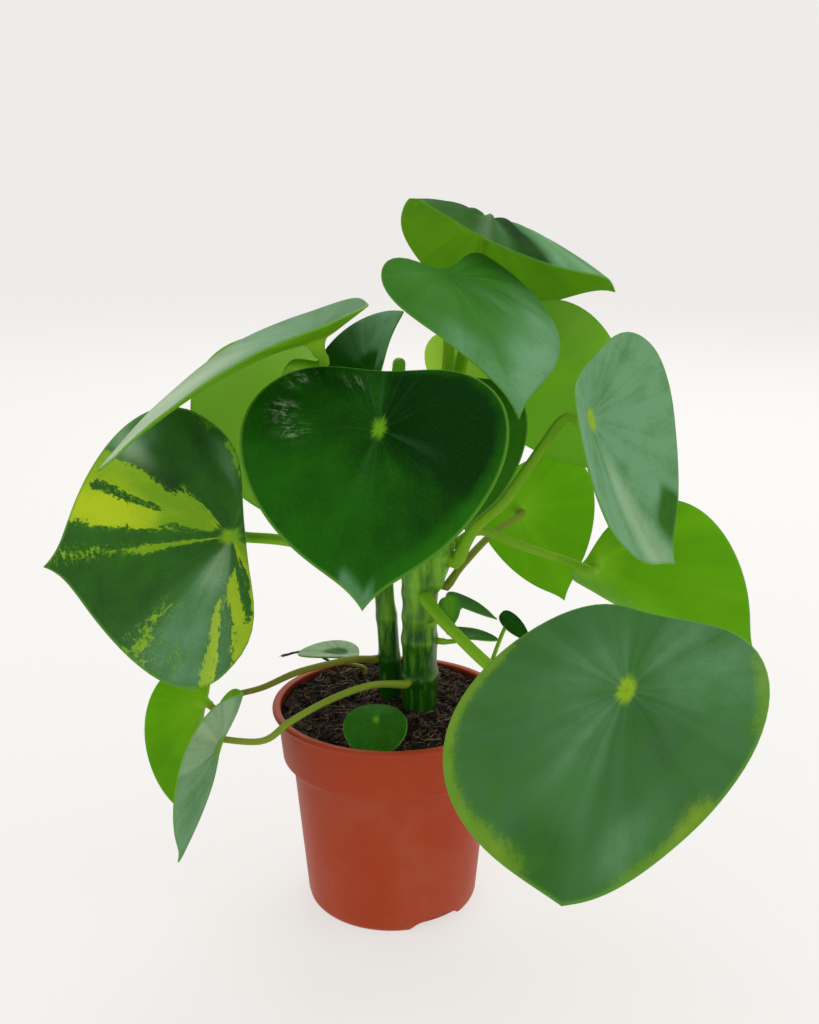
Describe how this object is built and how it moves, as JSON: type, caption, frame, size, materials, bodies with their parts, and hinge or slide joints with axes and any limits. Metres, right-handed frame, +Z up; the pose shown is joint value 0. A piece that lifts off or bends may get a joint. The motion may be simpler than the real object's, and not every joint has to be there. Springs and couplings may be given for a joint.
{
  "type": "potted peperomia",
  "caption": "Potted peperomia: a nursery pot of soil with green stems and broad heart-shaped leaves on long stalks, some of them variegated.",
  "frame": {"origin": "the centre of the pot's foot, on the surface that it stands on", "axes": "+Z up along the pot's axis, -Y towards the picture's viewer, +X to the viewer's right"},
  "size_m": [0.3529, 0.2513, 0.352],
  "materials": {
    "pot_plastic": "semi-matt moulded plastic, terracotta red",
    "potting_soil": "loose dark peat with pale fibres",
    "stem_green": "fleshy green stem, satin",
    "dried_stalk": "dried, matt brown",
    "leaf_green": "fleshy leaf, satin mid green",
    "leaf_dark": "fleshy leaf, glossy dark green",
    "leaf_grey_green": "fleshy leaf with a pale bloom, satin",
    "leaf_bright": "fleshy leaf seen from below, translucent bright green",
    "leaf_margined": "fleshy leaf, satin dark green with a lime margin",
    "leaf_variegated": "fleshy leaf, dark green with lime sectors"
  },
  "bodies": {
    "root": {"pot": "pot_plastic", "soil": "potting_soil", "stem_front": "stem_green", "stem_back": "stem_green", "dry_stalk": "dried_stalk", "leaf_top_back": "leaf_grey_green", "leaf_top_front": "leaf_green", "leaf_left_long": "leaf_grey_green", "leaf_left_behind": "leaf_bright", "leaf_variegated": "leaf_variegated", "leaf_low_left_behind": "leaf_bright", "leaf_low_left_front": "leaf_grey_green", "leaf_centre_front": "leaf_dark", "leaf_right_upright": "leaf_grey_green", "leaf_right_behind": "leaf_bright", "leaf_front_right": "leaf_margined", "leaf_upper_right_behind": "leaf_bright", "leaf_mid_right_behind": "leaf_bright", "leaf_centre_right": "leaf_dark", "leaf_upper_middle": "leaf_bright", "leaf_upper_dark": "leaf_dark", "leaf_soil_front": "leaf_dark", "leaf_soil_back": "leaf_grey_green", "leaf_shoot_upper": "leaf_grey_green", "leaf_shoot_small": "leaf_bright", "leaf_shoot_lower": "leaf_grey_green", "leaf_shoot_right": "leaf_dark"}
  },
  "joints": []
}
